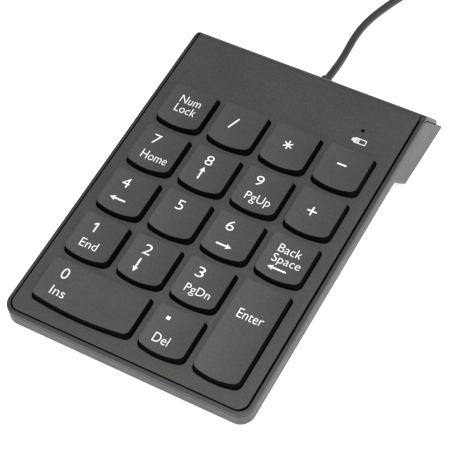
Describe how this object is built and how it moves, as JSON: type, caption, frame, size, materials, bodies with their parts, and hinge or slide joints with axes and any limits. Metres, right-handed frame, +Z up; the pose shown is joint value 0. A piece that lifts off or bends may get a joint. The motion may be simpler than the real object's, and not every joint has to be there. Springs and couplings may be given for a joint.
{
  "type": "numeric keypad",
  "caption": "Slim wired numeric keypad with sprung keys, tilted on a full-width rear foot bar, with a coiled cable and plug.",
  "frame": {"origin": "on the standing surface, under the middle of the keypad's own box, the cable and what is on it left out", "axes": "+Z up, +Y towards the rear where the cable leaves, +X to the user's right"},
  "size_m": [0.1043, 0.2376, 0.0202],
  "materials": {
    "keycap_plastic": "fine matt grain, white printed legends",
    "panel_plastic": "fine satin grain",
    "rim_plastic": "fine satin grain",
    "case_plastic": "fine satin grain",
    "guide_plastic": "plain moulded",
    "dome_rubber": "translucent silicone",
    "membrane_film": "printed polyester film",
    "plate_steel": "zinc-plated sheet",
    "board_laminate": "green solder mask",
    "chip_body": "matt epoxy",
    "led_body": "white moulded package",
    "light_pipe_clear": "smoked clear moulding",
    "screw_steel": "zinc-plated",
    "wire_steel": "bright spring wire",
    "foot_rubber": "matt rubber",
    "cable_jacket": "satin PVC jacket",
    "tie_rubber": "matt strap",
    "plug_plastic": "moulded overmould",
    "plug_steel": "bright plated shell",
    "plug_insulator": "white moulding"
  },
  "bodies": {
    "housing": {"bottom_case": "case_plastic", "face_panel": "panel_plastic", "rim_frame": "rim_plastic", "key_guide_frame": "guide_plastic", "dome_sheet": "dome_rubber", "membrane_upper_film": "membrane_film", "membrane_spacer": "membrane_film", "membrane_lower_film": "membrane_film", "backing_plate": "plate_steel", "controller_board": "board_laminate", "controller_chip": "chip_body", "indicator_led": "led_body", "light_pipe": "light_pipe_clear", "tail_clamp": "guide_plastic", "clamp_screw_left": "screw_steel", "clamp_screw_right": "screw_steel", "board_screw_left": "screw_steel", "board_screw_right": "screw_steel", "case_screw_front_left": "screw_steel", "case_screw_front_right": "screw_steel", "case_screw_middle_left": "screw_steel", "case_screw_middle_right": "screw_steel", "case_screw_rear_left": "screw_steel", "case_screw_rear_right": "screw_steel", "foot_front_left": "foot_rubber", "foot_front_right": "foot_rubber", "foot_rear_left": "foot_rubber", "foot_rear_right": "foot_rubber", "cable_grommet": "cable_jacket", "cable_lead": "cable_jacket", "cable_coil": "cable_jacket", "cable_tie": "tie_rubber", "cable_end": "cable_jacket", "plug_body": "plug_plastic", "plug_shell": "plug_steel", "plug_tongue": "plug_insulator"},
    "key_0": {"key_0": "keycap_plastic"},
    "key_decimal": {"key_decimal": "keycap_plastic"},
    "key_1": {"key_1": "keycap_plastic"},
    "key_2": {"key_2": "keycap_plastic"},
    "key_3": {"key_3": "keycap_plastic"},
    "key_enter": {"key_enter": "keycap_plastic"},
    "key_4": {"key_4": "keycap_plastic"},
    "key_5": {"key_5": "keycap_plastic"},
    "key_6": {"key_6": "keycap_plastic"},
    "key_backspace": {"key_backspace": "keycap_plastic"},
    "key_7": {"key_7": "keycap_plastic"},
    "key_8": {"key_8": "keycap_plastic"},
    "key_9": {"key_9": "keycap_plastic"},
    "key_add": {"key_add": "keycap_plastic"},
    "key_num_lock": {"key_num_lock": "keycap_plastic"},
    "key_divide": {"key_divide": "keycap_plastic"},
    "key_multiply": {"key_multiply": "keycap_plastic"},
    "key_subtract": {"key_subtract": "keycap_plastic"},
    "stabiliser_bar_0": {"stabiliser_bar_0": "wire_steel"},
    "stabiliser_bar_enter": {"stabiliser_bar_enter": "wire_steel"}
  },
  "joints": [
    {"name": "key_0_press", "type": "slide", "parent": "housing", "child": "key_0", "axis": [0, 0.1045, -0.9945], "range_m": [0, 0.002], "stiffness_N_per_m": 250, "springref_m": -0.0012, "deforming": ["dome_sheet"]},
    {"name": "key_decimal_press", "type": "slide", "parent": "housing", "child": "key_decimal", "axis": [0, 0.1045, -0.9945], "range_m": [0, 0.002], "stiffness_N_per_m": 250, "springref_m": -0.0012, "deforming": ["dome_sheet"]},
    {"name": "key_1_press", "type": "slide", "parent": "housing", "child": "key_1", "axis": [0, 0.1045, -0.9945], "range_m": [0, 0.002], "stiffness_N_per_m": 250, "springref_m": -0.0012, "deforming": ["dome_sheet"]},
    {"name": "key_2_press", "type": "slide", "parent": "housing", "child": "key_2", "axis": [0, 0.1045, -0.9945], "range_m": [0, 0.002], "stiffness_N_per_m": 250, "springref_m": -0.0012, "deforming": ["dome_sheet"]},
    {"name": "key_3_press", "type": "slide", "parent": "housing", "child": "key_3", "axis": [0, 0.1045, -0.9945], "range_m": [0, 0.002], "stiffness_N_per_m": 250, "springref_m": -0.0012, "deforming": ["dome_sheet"]},
    {"name": "key_enter_press", "type": "slide", "parent": "housing", "child": "key_enter", "axis": [0, 0.1045, -0.9945], "range_m": [0, 0.002], "stiffness_N_per_m": 250, "springref_m": -0.0012, "deforming": ["dome_sheet"]},
    {"name": "key_4_press", "type": "slide", "parent": "housing", "child": "key_4", "axis": [0, 0.1045, -0.9945], "range_m": [0, 0.002], "stiffness_N_per_m": 250, "springref_m": -0.0012, "deforming": ["dome_sheet"]},
    {"name": "key_5_press", "type": "slide", "parent": "housing", "child": "key_5", "axis": [0, 0.1045, -0.9945], "range_m": [0, 0.002], "stiffness_N_per_m": 250, "springref_m": -0.0012, "deforming": ["dome_sheet"]},
    {"name": "key_6_press", "type": "slide", "parent": "housing", "child": "key_6", "axis": [0, 0.1045, -0.9945], "range_m": [0, 0.002], "stiffness_N_per_m": 250, "springref_m": -0.0012, "deforming": ["dome_sheet"]},
    {"name": "key_backspace_press", "type": "slide", "parent": "housing", "child": "key_backspace", "axis": [0, 0.1045, -0.9945], "range_m": [0, 0.002], "stiffness_N_per_m": 250, "springref_m": -0.0012, "deforming": ["dome_sheet"]},
    {"name": "key_7_press", "type": "slide", "parent": "housing", "child": "key_7", "axis": [0, 0.1045, -0.9945], "range_m": [0, 0.002], "stiffness_N_per_m": 250, "springref_m": -0.0012, "deforming": ["dome_sheet"]},
    {"name": "key_8_press", "type": "slide", "parent": "housing", "child": "key_8", "axis": [0, 0.1045, -0.9945], "range_m": [0, 0.002], "stiffness_N_per_m": 250, "springref_m": -0.0012, "deforming": ["dome_sheet"]},
    {"name": "key_9_press", "type": "slide", "parent": "housing", "child": "key_9", "axis": [0, 0.1045, -0.9945], "range_m": [0, 0.002], "stiffness_N_per_m": 250, "springref_m": -0.0012, "deforming": ["dome_sheet"]},
    {"name": "key_add_press", "type": "slide", "parent": "housing", "child": "key_add", "axis": [0, 0.1045, -0.9945], "range_m": [0, 0.002], "stiffness_N_per_m": 250, "springref_m": -0.0012, "deforming": ["dome_sheet"]},
    {"name": "key_num_lock_press", "type": "slide", "parent": "housing", "child": "key_num_lock", "axis": [0, 0.1045, -0.9945], "range_m": [0, 0.002], "stiffness_N_per_m": 250, "springref_m": -0.0012, "deforming": ["dome_sheet"]},
    {"name": "key_divide_press", "type": "slide", "parent": "housing", "child": "key_divide", "axis": [0, 0.1045, -0.9945], "range_m": [0, 0.002], "stiffness_N_per_m": 250, "springref_m": -0.0012, "deforming": ["dome_sheet"]},
    {"name": "key_multiply_press", "type": "slide", "parent": "housing", "child": "key_multiply", "axis": [0, 0.1045, -0.9945], "range_m": [0, 0.002], "stiffness_N_per_m": 250, "springref_m": -0.0012, "deforming": ["dome_sheet"]},
    {"name": "key_subtract_press", "type": "slide", "parent": "housing", "child": "key_subtract", "axis": [0, 0.1045, -0.9945], "range_m": [0, 0.002], "stiffness_N_per_m": 250, "springref_m": -0.0012, "deforming": ["dome_sheet"]},
    {"name": "stabiliser_bar_0_turn", "type": "hinge", "parent": "housing", "child": "stabiliser_bar_0", "pos_m": [-0.019, -0.04781, 0.00721], "axis": [1, 0, 0], "range_deg": [0, 15.12]},
    {"name": "stabiliser_bar_enter_turn", "type": "hinge", "parent": "housing", "child": "stabiliser_bar_enter", "pos_m": [0.0343, -0.04413, 0.0076], "axis": [0, -0.9945, -0.1045], "range_deg": [0, 15.12]}
  ],
  "couplings": [
    {"joint": "stabiliser_bar_0_turn", "follows": "key_0_press", "rad_per_m": 127.59},
    {"joint": "stabiliser_bar_enter_turn", "follows": "key_enter_press", "rad_per_m": 127.59}
  ]
}
